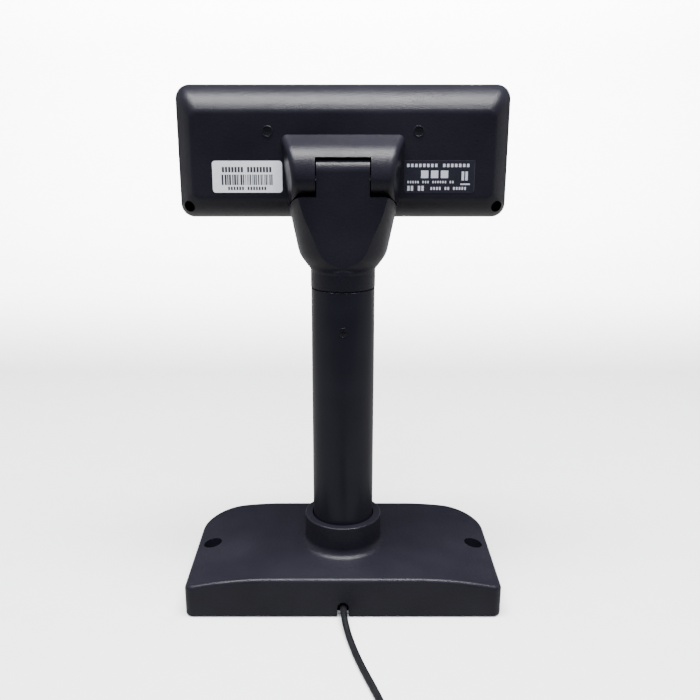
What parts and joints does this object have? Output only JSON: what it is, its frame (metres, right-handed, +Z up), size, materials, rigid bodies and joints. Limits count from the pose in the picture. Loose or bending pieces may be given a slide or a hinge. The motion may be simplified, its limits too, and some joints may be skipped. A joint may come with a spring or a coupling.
{
  "type": "customer pole display",
  "caption": "Customer display on a round pole: a wide flat screen head that tilts on a pinned neck, swivels on the pole and stands on an arched, weighted base.",
  "frame": {"origin": "on the surface that it stands on, under the middle of the base, on the pole's axis", "axes": "+Z up; the screen faces -Y and the hinge, labels and cord are on the +Y side; +X completes a right-handed frame"},
  "size_m": [0.207, 0.2796, 0.3254],
  "materials": {
    "textured_abs": "fine spark texture, semi-matt",
    "bezel_abs": "fine spark texture, semi-matt",
    "pole_paint": "satin black powder coat",
    "zinc_steel": "zinc plated",
    "screw_steel": "zinc plated",
    "black_screw": "black oxide",
    "pin_steel": "ground",
    "foot_rubber": "matt",
    "ring_rubber": "matt",
    "relief_rubber": "matt",
    "cable_jacket": "satin PVC",
    "tie_nylon": "hook and loop strap",
    "nylon_black": "moulded nylon",
    "acetal_grey": "acetal",
    "plug_pvc": "moulded PVC",
    "plug_metal": "nickel plated",
    "plug_insert": "moulded nylon",
    "label_white": "printed paper label",
    "label_dark": "printed film label",
    "window_acrylic": "tinted acrylic, polished",
    "lcd_frame_black": "black pressed steel",
    "lcd_cell": "polarised glass",
    "backlight_diffuser": "white diffuser",
    "board_green": "solder mask",
    "spacer_brass": "turned",
    "chip_epoxy": "moulded epoxy",
    "socket_nylon": "moulded nylon"
  },
  "bodies": {
    "base": {"base_cover": "textured_abs", "pole_collar": "textured_abs", "base_plate": "zinc_steel", "plate_screws": "screw_steel", "rubber_feet": "foot_rubber", "pole_tube": "pole_paint", "pole_flange": "zinc_steel", "flange_screws": "screw_steel", "pole_screw": "black_screw", "cable_clamp": "nylon_black", "clamp_screws": "screw_steel", "strain_relief": "relief_rubber", "pole_cable": "cable_jacket", "power_cord": "cable_jacket", "cord_coil": "cable_jacket", "coil_tie": "tie_nylon", "cord_tail": "cable_jacket", "plug_overmould": "plug_pvc", "plug_shell": "plug_metal", "plug_tongue": "plug_insert"},
    "neck": {"swivel_spigot": "acetal_grey", "friction_ring": "ring_rubber", "spigot_screws": "screw_steel", "neck_body": "textured_abs", "neck_front_cover": "textured_abs", "neck_cover_screws": "black_screw", "friction_sleeve": "acetal_grey", "neck_cable": "cable_jacket"},
    "head": {"rear_cover": "textured_abs", "front_bezel": "bezel_abs", "lower_cover_screws": "black_screw", "upper_cover_screws": "black_screw", "barcode_label": "label_white", "rating_label": "label_dark", "hinge_pin": "pin_steel", "hinge_washers": "pin_steel", "hinge_nut": "screw_steel", "hinge_bracket": "zinc_steel", "display_window": "window_acrylic", "lcd_frame": "lcd_frame_black", "lcd_glass": "lcd_cell", "backlight": "backlight_diffuser", "lcd_board": "board_green", "lcd_board_screws": "screw_steel", "board_spacers": "spacer_brass", "controller_board": "board_green", "controller_screws": "screw_steel", "board_chips": "chip_epoxy", "board_header": "nylon_black", "cable_socket": "socket_nylon", "head_cable": "cable_jacket"}
  },
  "joints": [
    {"name": "swivel", "type": "hinge", "parent": "base", "child": "neck", "pos_m": [0, 0, 0.204], "axis": [0, 0, 1], "range_deg": [-165, 165]},
    {"name": "tilt", "type": "hinge", "parent": "neck", "child": "head", "pos_m": [0, 0.0108, 0.2717], "axis": [1, 0, 0], "range_deg": [-45, 10]}
  ]
}
